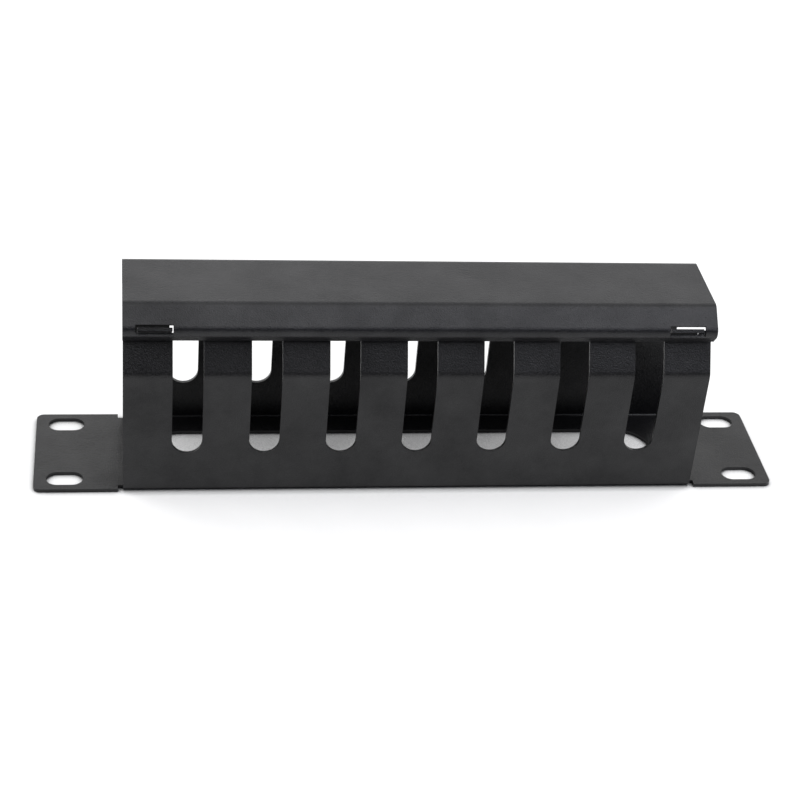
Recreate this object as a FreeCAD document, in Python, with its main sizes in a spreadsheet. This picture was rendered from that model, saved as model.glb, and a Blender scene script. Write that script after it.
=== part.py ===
import FreeCAD, Part
import math
import os
import Sketcher
from FreeCAD import Vector

# Horizontal cable manager, one rack unit high, for a ten inch rack: a steel channel with finger
# walls and rack ears, folded from one sheet, and a folded steel cover that clips onto it.
# X runs along the panel, Y across it and Z out of the rack, from the panel's back face at Z = 0.
# The origin is the centre of the panel's back face. Lengths are millimetres, angles degrees.

SIZES = [
    # name, value, what it is
    ("panel_length", 254.0, "ten inch rack panel, over both ears"),
    ("panel_height", 44.0, "one rack unit, less play"),
    ("panel_corner_radius", 2.5, "outer corners of the ears"),
    ("steel_thickness", 1.2, "sheet of the channel"),
    ("bend_inner_radius", 0.8, "inside radius of the channel's tight bends"),
    ("mount_inset", 10.25, "from a panel end to its rack slots' centres"),
    ("mount_spacing", 31.75, "rack slot centres across the panel"),
    ("mount_slot_length", 12.3, "rack slot, end to end"),
    ("mount_slot_width", 7.2, "rack slot, across"),
    ("channel_length", 194.8, "length of the finger walls"),
    ("channel_width", 43.6, "over the outer faces of the two walls"),
    ("relief_width", 1.7, "bend relief notch beside each wall end"),
    ("relief_depth", 2.2, "bend relief notch, from the ear's edge"),
    ("opening_length", 178.0, "cable opening in the back, end to end"),
    ("opening_width", 23.0, "cable opening in the back, across"),
    ("finger_slots", 7, "cable slots in each wall"),
    ("finger_end_width", 15.9, "width of the four end fingers"),
    ("finger_slot_width", 10.0, "width of a cable slot"),
    ("finger_slot_floor", 15.4, "height of a cable slot's round bottom"),
    ("lean_height", 46.0, "height at which the fingers start to lean in"),
    ("lean_angle", 31.0, "lean of the finger ends from upright"),
    ("lean_inner_radius", 3.2, "inside radius of the lean's bend"),
    ("finger_end_length", 15.2, "leaning length of a finger, from its bend to its tip"),
    ("hook_reach", 14.2, "leaning length below a latch tab, from bend to bend"),
    ("tab_relief_depth", 1.4, "relief cut beside a latch tab, below the tab's bend"),
    ("tab_relief_width", 0.6, "relief cut beside a latch tab, between it and the finger's outer part"),
    ("tab_length", 7.7, "latch tab, from its bend to its end"),
    ("tab_angle", 33.5, "rise of the latch tab from level"),
    ("tab_width", 11.0, "width of a latch tab"),
    ("tab_inset", 0.25, "from an end finger's inner edge to its latch tab"),
    ("latch_inner_play", 0.3, "free space in a latch slot at the tab's inner end"),
    ("latch_outer_play", 0.8, "free space in a latch slot at the tab's outer end"),
    ("cover_thickness", 1.0, "sheet of the cover"),
    ("cover_overhang", 0.2, "cover, past each end of the finger walls"),
    ("cover_inner_radius", 2.0, "inside radius of the cover's bends"),
    ("lip_length", 10.55, "sloping side of the cover, from bend to bend"),
    ("lip_angle", 42.6, "fall of the cover's side from level"),
    ("flange_length", 6.1, "inward edge of the cover, from its bend to its edge"),
    ("flange_angle", 39.0, "lean of the cover's inward edge from upright"),
    ("bulge_reach", 0.86, "cover's side bend, out past a tab's end"),
    ("bulge_drop", 0.63, "cover's side bend, below a tab's end"),
    ("latch_above", 3.2, "latch slot, from the side bend up the sloping side"),
    ("latch_below", 1.9, "latch slot, from the side bend down the inward edge"),
    ("cut_margin", 2.0, "how far a cutting outline passes the sheet's outer face"),
]

doc = FreeCAD.newDocument("CableManager")


def make_sheet():
    """The spreadsheet that every sketch and feature reads."""
    sheet = doc.addObject("Spreadsheet::Sheet", "Sizes")
    for row, (name, value, meaning) in enumerate(SIZES, start=1):
        sheet.set(f"A{row}", name)
        sheet.set(f"B{row}", str(value))
        sheet.set(f"C{row}", meaning)
        sheet.setAlias(f"B{row}", name)
    doc.recompute()
    return sheet


sizes = make_sheet()


def size(name):
    """The expression that reads one size from the sheet."""
    return f"Sizes.{name}"


def number(expression):
    """The value of an expression now, in millimetres."""
    return float(sizes.evalExpression(expression))


def origin_feature(body, role):
    """A plane or an axis of a body's own origin."""
    return next(item for item in body.Origin.OriginFeatures if item.Role == role)


def new_sketch(body, name, role, offset=None):
    """An empty sketch on one of the body's origin planes, moved along its normal by offset."""
    sketch = body.newObject("Sketcher::SketchObject", name)
    sketch.AttachmentSupport = [(origin_feature(body, role), "")]
    sketch.MapMode = "FlatFace"
    if offset:
        sketch.setExpression("AttachmentOffset.Base.z", offset)
    return sketch


def bind_point(sketch, geometry, end, point):
    """Ties a point of the sketch to its two expressions, measured from the origin."""
    for kind, expression in zip(("DistanceX", "DistanceY"), point):
        constraint = Sketcher.Constraint(kind, -1, 1, geometry, end, number(expression))
        sketch.setExpression(f"Constraints[{sketch.addConstraint(constraint)}]", expression)


def add_polygon(sketch, corners):
    """A closed outline of straight edges through corners given as pairs of expressions."""
    places = [Vector(number(across), number(up), 0) for across, up in corners]
    edges = []
    for index, place in enumerate(places):
        follower = places[(index + 1) % len(places)]
        edges.append(sketch.addGeometry(Part.LineSegment(place, follower), False))
    for index, edge in enumerate(edges):
        follower = edges[(index + 1) % len(edges)]
        sketch.addConstraint(Sketcher.Constraint("Coincident", edge, 2, follower, 1))
    for edge, corner in zip(edges, corners):
        bind_point(sketch, edge, 1, corner)


def add_slot(sketch, first, last, radius):
    """A closed outline with round ends about the points first and last."""
    start = Vector(number(first[0]), number(first[1]), 0)
    end = Vector(number(last[0]), number(last[1]), 0)
    reach = number(radius)
    along = (end - start).normalize()
    side = Vector(-along.y, along.x, 0) * reach
    normal = Vector(0, 0, 1)

    def half_circle(centre, begins):
        circle = Part.Circle(centre, normal, reach)
        angle = circle.parameter(begins)
        return Part.ArcOfCircle(circle, angle, angle + math.pi)

    start_arc = sketch.addGeometry(half_circle(start, start + side), False)
    near_line = sketch.addGeometry(Part.LineSegment(start - side, end - side), False)
    end_arc = sketch.addGeometry(half_circle(end, end - side), False)
    far_line = sketch.addGeometry(Part.LineSegment(end + side, start + side), False)
    loop = [start_arc, near_line, end_arc, far_line]
    for index, piece in enumerate(loop):
        follower = loop[(index + 1) % len(loop)]
        sketch.addConstraint(Sketcher.Constraint("Tangent", piece, 2, follower, 1))
    sketch.addConstraint(Sketcher.Constraint("Equal", start_arc, end_arc))
    bind_point(sketch, start_arc, 3, first)
    bind_point(sketch, end_arc, 3, last)
    constraint = sketch.addConstraint(Sketcher.Constraint("Radius", start_arc, reach))
    sketch.setExpression(f"Constraints[{constraint}]", radius)


def mirrored(points):
    """The section's points on its other side."""
    return [(f"-({across})", up) for across, up in points]


def both_sides(points):
    """A half section's points, then the same points on the other side in reverse."""
    return points + mirrored(points)[::-1]


def add_pair(sketch, corners):
    """A closed outline and the same outline on the section's other side."""
    add_polygon(sketch, corners)
    add_polygon(sketch, mirrored(corners))


def pad_through(body, name, sketch, length, middle=True):
    """A pad of the sketch, centred on its plane or on the plane's positive side."""
    pad = body.newObject("PartDesign::Pad", name)
    pad.Profile = sketch
    pad.Midplane = middle
    pad.setExpression("Length", length)
    doc.recompute()
    return pad


def pocket(body, name, sketch, length):
    """A cut both ways from the sketch, length in all."""
    before = body.Shape.Volume
    cut = body.newObject("PartDesign::Pocket", name)
    cut.Profile = sketch
    cut.Midplane = True
    cut.setExpression("Length", length)
    doc.recompute()
    if not body.Shape.Volume < before:
        raise RuntimeError(f"{name} cuts nothing")
    return cut


def mirror_lengthwise(body, name, features):
    """The features again at the other end of the panel."""
    mirror = body.newObject("PartDesign::Mirrored", name)
    mirror.Originals = features
    mirror.MirrorPlane = (origin_feature(body, "YZ_Plane"), [""])
    body.Tip = mirror
    doc.recompute()
    return mirror


def edges_along(body, direction, places):
    """Names of the body's straight edges along direction that pass through one of the places."""
    found = []
    for index, edge in enumerate(body.Shape.Edges, start=1):
        if not isinstance(edge.Curve, Part.Line):
            continue
        if edge.Curve.Direction.cross(direction).Length > 1e-6:
            continue
        centre = edge.CenterOfMass
        for place in places:
            if (centre - place).cross(direction).Length < 1e-3:
                found.append(f"Edge{index}")
    return found


def round_edges(body, name, edges, radius):
    """A fillet of the body's named edges."""
    if not edges:
        raise RuntimeError(f"{name} finds no edges")
    base = body.Tip
    fillet = body.newObject("PartDesign::Fillet", name)
    fillet.Base = (base, edges)
    fillet.setExpression("Radius", radius)
    body.Tip = fillet
    doc.recompute()
    return fillet


def section_edges(body, points):
    """Edges along X through section points, given as pairs of expressions, on both sides."""
    places = []
    for across, up in points:
        for side in (1, -1):
            places.append(Vector(0, side * number(across), number(up)))
    return edges_along(body, Vector(1, 0, 0), places)


# ---- the folded section of the channel's +Y side, each point a pair of expressions

steel = size("steel_thickness")
lean = size("lean_angle")
tab_rise = size("tab_angle")
wall_face = f"({size('channel_width')} / 2)"
wall_inside = f"({wall_face} - {steel})"
lean_top = size("lean_height")
lean_inside = f"({lean_top} - {steel} * tan({lean} / 2))"


def up_the_lean(reach, depth="0"):
    """A point of the leaning finger: reach above its bend, depth below its outer face."""
    across = f"({wall_face} - ({reach}) * sin({lean}) - ({depth}) * cos({lean}))"
    up = f"({lean_top} + ({reach}) * cos({lean}) - ({depth}) * sin({lean}))"
    return across, up


finger_tip = size("finger_end_length")
hook = size("hook_reach")
hook_turn = f"((90 + {lean} - {tab_rise}) / 2)"
hook_outside = up_the_lean(hook)
hook_inside = up_the_lean(f"{hook} + {steel} * tan({hook_turn})", steel)


def along_tab(start, reach):
    """A point of the latch tab, reach from one of its bend's corners."""
    return f"({start[0]} + ({reach}) * cos({tab_rise}))", f"({start[1]} + ({reach}) * sin({tab_rise}))"


tab_end_below = along_tab(hook_outside, size("tab_length"))
tab_end_above = along_tab(hook_inside, f"{size('tab_length')} + {steel} * tan({hook_turn})")

# places along the panel, from its middle
wall_end = f"({size('channel_length')} / 2)"
finger_edge = f"({wall_end} - {size('finger_end_width')})"
last_slot = f"({finger_edge} - {size('finger_slot_width')} / 2)"
tab_start = f"({finger_edge} + {size('tab_inset')})"
tab_end = f"({tab_start} + {size('tab_width')})"
margin = size("cut_margin")


def band(outline):
    """The middle and the length of a stretch along the panel, given as its two ends."""
    start, end = outline
    return f"({start} + {end}) / 2", f"{end} - ({start})"


def build_channel():
    """Back, two finger walls, four latch tabs and two rack ears, from one sheet."""
    body = doc.addObject("PartDesign::Body", "base_channel")
    body.Label = "base_channel"

    # the back and both walls, full length
    foot_outside = (wall_face, "0")
    foot_inside = (wall_inside, steel)
    bend_outside = (wall_face, lean_top)
    bend_inside = (wall_inside, lean_inside)
    outer = [foot_outside, bend_outside, up_the_lean(finger_tip)]
    inner = [up_the_lean(finger_tip, steel), bend_inside, foot_inside]
    section = new_sketch(body, "ChannelSection", "YZ_Plane")
    add_polygon(section, both_sides(outer + inner))
    pad_through(body, "Channel", section, size("channel_length"))
    tight = size("bend_inner_radius")
    loose = size("lean_inner_radius")
    round_edges(body, "FootInside", section_edges(body, [foot_inside]), tight)
    round_edges(body, "FootOutside", section_edges(body, [foot_outside]), f"{tight} + {steel}")
    round_edges(body, "LeanInside", section_edges(body, [bend_inside]), loose)
    round_edges(body, "LeanOutside", section_edges(body, [bend_outside]), f"{loose} + {steel}")

    # cable slots, through both walls and open at the fingers' tips
    slot_radius = f"{size('finger_slot_width')} / 2"
    slot_bottom = f"{size('finger_slot_floor')} + {slot_radius}"
    slot_place = f"-{last_slot}"
    above_tips = f"{lean_top} + {finger_tip} + {slot_radius}"
    outline = new_sketch(body, "CableSlotOutline", "XZ_Plane")
    add_slot(outline, (slot_place, slot_bottom), (slot_place, above_tips), slot_radius)
    first_slot = pocket(body, "CableSlot", outline, f"2 * {size('channel_width')}")
    row = body.newObject("PartDesign::LinearPattern", "CableSlots")
    row.Originals = [first_slot]
    row.Direction = (origin_feature(body, "X_Axis"), [""])
    row.setExpression("Length", f"2 * {last_slot}")
    row.setExpression("Occurrences", size("finger_slots"))
    body.Tip = row
    doc.recompute()

    # latch tabs on the four end fingers, cut free of the fingers' outer parts
    relief_floor = f"{hook} - {size('tab_relief_depth')}"
    relief_top = f"{finger_tip} + {margin}"
    past_inside = f"{steel} + {margin}"
    relief = [up_the_lean(relief_floor, f"-{margin}"), up_the_lean(relief_top, f"-{margin}")]
    relief += [up_the_lean(relief_top, past_inside), up_the_lean(relief_floor, past_inside)]
    middle, length = band((f"({finger_edge} - {margin})", f"({tab_end} + {size('tab_relief_width')})"))
    reliefs = new_sketch(body, "TabReliefSection", "YZ_Plane", middle)
    add_pair(reliefs, relief)
    relief_cut = pocket(body, "TabReliefs", reliefs, length)
    tab_root = f"{relief_floor} - {steel}"
    tab = [up_the_lean(tab_root), hook_outside, tab_end_below]
    tab += [tab_end_above, hook_inside, up_the_lean(tab_root, steel)]
    middle, length = band((tab_start, tab_end))
    tabs = new_sketch(body, "TabSection", "YZ_Plane", middle)
    add_pair(tabs, tab)
    tab_pad = pad_through(body, "LatchTabs", tabs, length)
    mirror_lengthwise(body, "LatchTabsLeft", [relief_cut, tab_pad])
    round_edges(body, "HookOutside", section_edges(body, [hook_outside]), tight)
    round_edges(body, "HookInside", section_edges(body, [hook_inside]), f"{tight} + {steel}")

    # cable opening in the back
    opening_radius = f"{size('opening_width')} / 2"
    opening_reach = f"({size('opening_length')} - {size('opening_width')}) / 2"
    opening = new_sketch(body, "OpeningOutline", "XY_Plane")
    add_slot(opening, (f"-({opening_reach})", "0"), (opening_reach, "0"), opening_radius)
    through_back = f"4 * {steel}"
    pocket(body, "CableOpening", opening, through_back)

    # the right ear, narrowed beside the walls by the bend reliefs, and its two rack slots
    relief_end = f"{wall_end} + {size('relief_width')}"
    ear_end = f"{size('panel_length')} / 2"
    ear_edge = f"{size('panel_height')} / 2"
    neck_edge = f"({ear_edge} - {size('relief_depth')})"
    half_ear = [(wall_end, neck_edge), (relief_end, neck_edge), (relief_end, ear_edge), (ear_end, ear_edge)]
    ear_sketch = new_sketch(body, "EarOutline", "XY_Plane")
    add_polygon(ear_sketch, half_ear + [(along, f"-{edge}") for along, edge in reversed(half_ear)])
    ear = pad_through(body, "Ear", ear_sketch, steel, middle=False)
    slot_radius = f"{size('mount_slot_width')} / 2"
    slot_reach = f"({size('mount_slot_length')} - {size('mount_slot_width')}) / 2"
    slot_centre = f"{ear_end} - {size('mount_inset')}"
    slot_sketch = new_sketch(body, "RackSlotOutline", "XY_Plane")
    for side in ("", "-"):
        level = f"{side}{size('mount_spacing')} / 2"
        ends = [(f"{slot_centre} {sign} {slot_reach}", level) for sign in "-+"]
        add_slot(slot_sketch, ends[0], ends[1], slot_radius)
    rack_slots = pocket(body, "RackSlots", slot_sketch, through_back)
    mirror_lengthwise(body, "LeftEar", [ear, rack_slots])
    corners = []
    for end in (1, -1):
        for side in (1, -1):
            corners.append(Vector(end * number(ear_end), side * number(ear_edge), 0))
    upright = edges_along(body, Vector(0, 0, 1), corners)
    round_edges(body, "EarCorners", upright, size("panel_corner_radius"))
    return body


def build_cover():
    """The clip-on cover: a flat top, sloping sides and inward edges with four latch slots."""
    body = doc.addObject("PartDesign::Body", "cover")
    body.Label = "cover"
    sheet = size("cover_thickness")
    fall = size("lip_angle")
    tuck = size("flange_angle")

    # the side bend sits around the ends of the latch tabs
    bend_across = f"({tab_end_below[0]} + {size('bulge_reach')})"
    bend_up = f"({tab_end_below[1]} - {size('bulge_drop')})"
    side_bend = (bend_across, bend_up)

    def up_the_side(reach, depth="0"):
        """A point of the sloping side: reach above the side bend, depth below its outer face."""
        across = f"({bend_across} - ({reach}) * cos({fall}) - ({depth}) * sin({fall}))"
        up = f"({bend_up} + ({reach}) * sin({fall}) - ({depth}) * cos({fall}))"
        return across, up

    def down_the_edge(reach, depth="0"):
        """A point of the inward edge: reach below the side bend, depth behind its outer face."""
        across = f"({bend_across} - ({reach}) * sin({tuck}) - ({depth}) * cos({tuck}))"
        up = f"({bend_up} - ({reach}) * cos({tuck}) + ({depth}) * sin({tuck}))"
        return across, up

    side_turn = f"((90 + {tuck} - {fall}) / 2)"
    top_bend = up_the_side(size("lip_length"))
    top_inside = up_the_side(f"{size('lip_length')} - {sheet} * tan({fall} / 2)", sheet)
    bend_inside = up_the_side(f"{sheet} * tan({side_turn})", sheet)
    edge = size("flange_length")
    outer = [down_the_edge(edge), side_bend, top_bend]
    inner = [top_inside, bend_inside, down_the_edge(edge, sheet)]
    section = new_sketch(body, "CoverSection", "YZ_Plane")
    add_polygon(section, both_sides(inner + outer))
    pad_through(body, "Folded", section, f"{size('channel_length')} + 2 * {size('cover_overhang')}")
    inside = size("cover_inner_radius")
    round_edges(body, "BendsInside", section_edges(body, [top_inside, bend_inside]), inside)
    round_edges(body, "BendsOutside", section_edges(body, [top_bend, side_bend]), f"{inside} + {sheet}")

    # latch slots across the side bends, over the tabs
    above = size("latch_above")
    below = size("latch_below")
    window = [up_the_side(above, f"-{margin}"), up_the_side(above, f"{sheet} + {margin} / 2")]
    window += [down_the_edge(below, f"{sheet} + {margin} / 2"), down_the_edge(below, f"-{margin}")]
    slot_start = f"({tab_start} - {size('latch_inner_play')})"
    slot_end = f"({tab_end} + {size('latch_outer_play')})"
    middle, length = band((slot_start, slot_end))
    outline = new_sketch(body, "LatchSlotSection", "YZ_Plane", middle)
    add_pair(outline, window)
    slots = pocket(body, "LatchSlots", outline, length)
    mirror_lengthwise(body, "LatchSlotsLeft", [slots])
    return body


bodies = [build_channel(), build_cover()]
doc.recompute()

for item in doc.Objects:
    if "Invalid" in item.State or "Error" in item.State:
        raise RuntimeError(f"{item.Name} failed: {item.State}")
for body in bodies:
    if body.Shape.isNull() or not body.Shape.isValid() or len(body.Shape.Solids) != 1:
        raise RuntimeError(f"{body.Label} is not one valid solid")

os.makedirs("parts", exist_ok=True)
for body in bodies:
    body.Shape.exportStep(f"parts/{body.Label}.step")
    box = body.Shape.BoundBox
    print(body.Label, "volume", round(body.Shape.Volume, 1), "box", box)
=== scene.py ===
"""Looks of a horizontal cable manager: a powder-coated steel channel with its clip-on cover."""

import math

import bpy
from mathutils import Matrix, Vector

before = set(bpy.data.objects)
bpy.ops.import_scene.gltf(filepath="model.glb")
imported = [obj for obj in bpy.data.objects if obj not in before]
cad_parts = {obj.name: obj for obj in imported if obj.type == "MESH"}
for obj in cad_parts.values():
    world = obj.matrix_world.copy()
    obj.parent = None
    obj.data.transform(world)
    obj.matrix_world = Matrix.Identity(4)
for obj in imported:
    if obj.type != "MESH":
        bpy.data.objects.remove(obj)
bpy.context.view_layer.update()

CHANNEL = "base_channel"
COVER = "cover"
WHITE = (1.0, 1.0, 1.0, 1.0)


# ---- node helpers


def new_material(name):
    """A material with an empty node tree, and its output."""
    material = bpy.data.materials.new(name)
    material.use_nodes = True
    material.node_tree.nodes.clear()
    output = material.node_tree.nodes.new("ShaderNodeOutputMaterial")
    return material, output


def add(tree, kind, **settings):
    """A node with its properties set by name."""
    node = tree.nodes.new(kind)
    for key, value in settings.items():
        setattr(node, key, value)
    return node


def noise(tree, coordinates, scale, detail, roughness):
    """A noise texture over the given coordinates."""
    node = add(tree, "ShaderNodeTexNoise")
    node.inputs["Scale"].default_value = scale
    node.inputs["Detail"].default_value = detail
    node.inputs["Roughness"].default_value = roughness
    tree.links.new(coordinates, node.inputs["Vector"])
    return node.outputs["Fac"]


def ramp(tree, factor, low, high, color_low, color_high):
    """A two-stop colour ramp between low and high."""
    node = add(tree, "ShaderNodeValToRGB")
    node.color_ramp.elements[0].position = low
    node.color_ramp.elements[1].position = high
    node.color_ramp.elements[0].color = (*color_low, 1)
    node.color_ramp.elements[1].color = (*color_high, 1)
    tree.links.new(factor, node.inputs["Fac"])
    return node.outputs["Color"]


def map_range(tree, factor, low, high, out_low, out_high):
    """A value carried from one range to another."""
    node = add(tree, "ShaderNodeMapRange")
    names = ("From Min", "From Max", "To Min", "To Max")
    for name, value in zip(names, (low, high, out_low, out_high)):
        node.inputs[name].default_value = value
    tree.links.new(factor, node.inputs["Value"])
    return node.outputs["Result"]


def times(tree, *values):
    """The product of several sockets."""
    total = values[0]
    for value in values[1:]:
        node = add(tree, "ShaderNodeMath", operation="MULTIPLY")
        tree.links.new(total, node.inputs[0])
        tree.links.new(value, node.inputs[1])
        total = node.outputs["Value"]
    return total


def openness(tree, distance, low, high, out_low, out_high):
    """How open a spot is to its surroundings within a distance, carried to another range."""
    node = add(tree, "ShaderNodeAmbientOcclusion", samples=4)
    node.inputs["Distance"].default_value = distance
    return map_range(tree, node.outputs["AO"], low, high, out_low, out_high)


def blend(tree, factor, first, second):
    """The first value where the factor is 0, the second where it is 1: sockets or numbers."""
    node = add(tree, "ShaderNodeMix", data_type="FLOAT")
    for name, value in zip(("Factor", "A", "B"), (factor, first, second)):
        if isinstance(value, float):
            node.inputs[name].default_value = value
        else:
            tree.links.new(value, node.inputs[name])
    return node.outputs["Result"]


# ---- materials

GRAIN_SCALE = 2200.0
GRAIN_HEIGHT = 0.00014
CLOUD_SCALE = 45.0


def powder_coat(name, dark, light, seed):
    """Fine-textured matt powder coat: a sandy grain with a soft sheen and faint clouds."""
    material, output = new_material(name)
    tree = material.node_tree
    shader = add(tree, "ShaderNodeBsdfPrincipled")
    tree.links.new(shader.outputs["BSDF"], output.inputs["Surface"])
    coordinates = add(tree, "ShaderNodeTexCoord").outputs["Object"]
    place = add(tree, "ShaderNodeMapping")
    place.inputs["Location"].default_value = (seed, seed * 0.7, seed * 0.3)
    tree.links.new(coordinates, place.inputs["Vector"])
    spot = place.outputs["Vector"]

    grain = noise(tree, spot, GRAIN_SCALE, 3.0, 0.6)
    clouds = noise(tree, spot, CLOUD_SCALE, 5.0, 0.7)
    color = ramp(tree, grain, 0.35, 0.7, dark, light)
    shade = map_range(tree, clouds, 0.3, 0.7, 0.92, 1.08)
    tint = add(tree, "ShaderNodeMix", data_type="RGBA", blend_type="MULTIPLY")
    tint.inputs["Factor"].default_value = 1.0
    tree.links.new(color, tint.inputs["A"])
    tree.links.new(shade, tint.inputs["B"])
    tree.links.new(tint.outputs["Result"], shader.inputs["Base Color"])
    roughness = map_range(tree, grain, 0.3, 0.7, 0.27, 0.39)
    tree.links.new(roughness, shader.inputs["Roughness"])
    sheen = map_range(tree, clouds, 0.3, 0.7, 0.29, 0.46)
    tree.links.new(sheen, shader.inputs["Specular IOR Level"])

    bump = add(tree, "ShaderNodeBump")
    bump.inputs["Strength"].default_value = 0.9
    bump.inputs["Distance"].default_value = GRAIN_HEIGHT
    tree.links.new(grain, bump.inputs["Height"])
    tree.links.new(bump.outputs["Normal"], shader.inputs["Normal"])
    return material


def dress(node, material):
    """Gives a CAD node's slots the material and leaves its mesh alone."""
    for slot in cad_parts[node].material_slots:
        slot.material = material


dress(CHANNEL, powder_coat("channel_coat", (0.004, 0.004, 0.0045), (0.011, 0.011, 0.0125), 3.1))
dress(COVER, powder_coat("cover_coat", (0.004, 0.004, 0.005), (0.012, 0.012, 0.015), 7.7))


# ---- stage: floor, world and soft box

FLOOR_SIZE = 12.0
FLOOR_TOP = -0.0002
PAPER = 0.5
# painted contact shadow: the paper's colour where the part touches the floor, darker than PAPER
PAINTED_SHADOW_PAPER = 0.35 * PAPER
FLOOR_GLOW = 0.62
CONTACT_REACH = 0.003
CONTACT_RANGE = (0.5, 0.85)
# reach and range of the painted shade inside the channel and under the cover, where the floor's
# glow fades
SHADE_REACH = 0.1
SHADE_RANGE = (0.2, 0.42)

# the studio's brightness, where 1 is white
OVERHEAD_REAR = 1.0
OVERHEAD_FRONT = 2.0
BEHIND_LEFT = 1.55
BEHIND_RIGHT = 1.15
FRONT_LEVEL = 0.01

SOFT_BOX_PLACE = (0.5, -0.55, 0.85)
SOFT_BOX_SIZE = 0.8
SOFT_BOX_WATTS = 3.7
SOFT_BOX_COLOR = (0.86, 0.88, 1.0)


def seen_or_mirrored(tree):
    """1 for camera, glossy and transmission rays, 0 for the rays that only carry light."""
    path = add(tree, "ShaderNodeLightPath")
    total = path.outputs["Is Camera Ray"]
    for kind in ("Is Glossy Ray", "Is Transmission Ray"):
        either = add(tree, "ShaderNodeMath", operation="MAXIMUM")
        tree.links.new(total, either.inputs[0])
        tree.links.new(path.outputs[kind], either.inputs[1])
        total = either.outputs["Value"]
    return total


def build_floor():
    """A pale floor that the camera sees as white, with the object's soft shadow on it: partly
    lit shade, partly painted shade where its colour and glow darken near the part and inside
    the channel.
    """
    bpy.ops.mesh.primitive_plane_add(size=FLOOR_SIZE, location=(0, 0, FLOOR_TOP))
    floor = bpy.context.object
    floor.name = "floor"
    material, output = new_material("floor_paper")
    tree = material.node_tree
    paper = add(tree, "ShaderNodeBsdfDiffuse")
    # painted contact shadow: the paper's colour darkens where ambient occlusion within
    # CONTACT_REACH is low, on top of the lit shadow
    shade = openness(tree, CONTACT_REACH, *CONTACT_RANGE, PAINTED_SHADOW_PAPER, PAPER)
    tree.links.new(shade, paper.inputs["Color"])
    glow = add(tree, "ShaderNodeEmission")
    glow.inputs["Color"].default_value = WHITE
    # painted shade: the floor's white glow is taken away close to the part, inside the channel
    # and under the cover, so the camera and reflections see darker floor there
    painted_contact_shadow = openness(tree, CONTACT_REACH, *CONTACT_RANGE, 0.0, 1.0)
    painted_hollow_shadow = openness(tree, SHADE_REACH, *SHADE_RANGE, 0.0, FLOOR_GLOW)
    level = times(tree, seen_or_mirrored(tree), painted_contact_shadow, painted_hollow_shadow)
    tree.links.new(level, glow.inputs["Strength"])
    both = add(tree, "ShaderNodeAddShader")
    tree.links.new(paper.outputs["BSDF"], both.inputs[0])
    tree.links.new(glow.outputs["Emission"], both.inputs[1])
    tree.links.new(both.outputs["Shader"], output.inputs["Surface"])
    floor.data.materials.append(material)


def build_world():
    """A studio: bright overhead, softer behind the part and dark low down in front of it.

    The camera itself sees it white.
    """
    world = bpy.data.worlds.new("studio")
    world.use_nodes = True
    tree = world.node_tree
    direction = add(tree, "ShaderNodeTexCoord").outputs["Generated"]
    split = add(tree, "ShaderNodeSeparateXYZ")
    tree.links.new(direction, split.inputs["Vector"])
    along, across, up = (split.outputs[axis] for axis in "XYZ")

    overhead = map_range(tree, across, 0.1, -0.35, OVERHEAD_REAR, OVERHEAD_FRONT)
    behind = map_range(tree, along, -0.1, 0.15, BEHIND_LEFT, BEHIND_RIGHT)
    beside = map_range(tree, across, -0.2, 0.45, 0.0, 1.0)
    low = map_range(tree, up, 0.86, 0.59, 0.0, 1.0)
    lit = blend(tree, low, overhead, blend(tree, beside, FRONT_LEVEL, behind))
    path = add(tree, "ShaderNodeLightPath")
    seen = blend(tree, path.outputs["Is Camera Ray"], lit, 1.0)
    background = tree.nodes["Background"]
    background.inputs["Color"].default_value = WHITE
    tree.links.new(seen, background.inputs["Strength"])
    bpy.context.scene.world = world


def build_soft_box():
    """A square soft light at the right front that faces the part."""
    data = bpy.data.lights.new("soft_box", "AREA")
    data.size = SOFT_BOX_SIZE
    data.energy = SOFT_BOX_WATTS
    data.color = SOFT_BOX_COLOR
    lamp = bpy.data.objects.new("soft_box", data)
    place = Vector(SOFT_BOX_PLACE)
    turn = (-place).to_track_quat("-Z", "Y").to_matrix()
    lamp.matrix_world = Matrix.Translation(place) @ turn.to_4x4()
    bpy.context.scene.collection.objects.link(lamp)


build_floor()
build_world()
build_soft_box()


# ---- camera: the fitted viewpoint, its focal length as a share of the picture's width

CAMERA_PLACE = (-0.09835, -0.54843, 0.39207)
CAMERA_YAW = -9.853
CAMERA_PITCH = 33.631
CAMERA_ROLL = 5.368
SENSOR = 36.0
FOCAL_SHARE = 2.431725
LENS = FOCAL_SHARE * SENSOR


def build_camera():
    """A camera that looks along yaw and pitch, turned by roll about its own view."""
    yaw = math.radians(CAMERA_YAW)
    pitch = math.radians(CAMERA_PITCH)
    roll = math.radians(CAMERA_ROLL)
    ahead = Vector((-math.sin(yaw), math.cos(yaw), 0))
    forward = math.cos(pitch) * ahead - math.sin(pitch) * Vector((0, 0, 1))
    right = Vector((math.cos(yaw), math.sin(yaw), 0))
    up = right.cross(forward)
    side = math.cos(roll) * right + math.sin(roll) * up
    top = -math.sin(roll) * right + math.cos(roll) * up
    data = bpy.data.cameras.new("camera")
    data.sensor_width = SENSOR
    data.lens = LENS
    data.clip_start = 0.01
    camera = bpy.data.objects.new("camera", data)
    turn = Matrix((side, top, -forward)).transposed()
    camera.matrix_world = Matrix.Translation(CAMERA_PLACE) @ turn.to_4x4()
    bpy.context.scene.collection.objects.link(camera)
    bpy.context.scene.camera = camera


build_camera()
bpy.context.scene.view_settings.view_transform = "Standard"
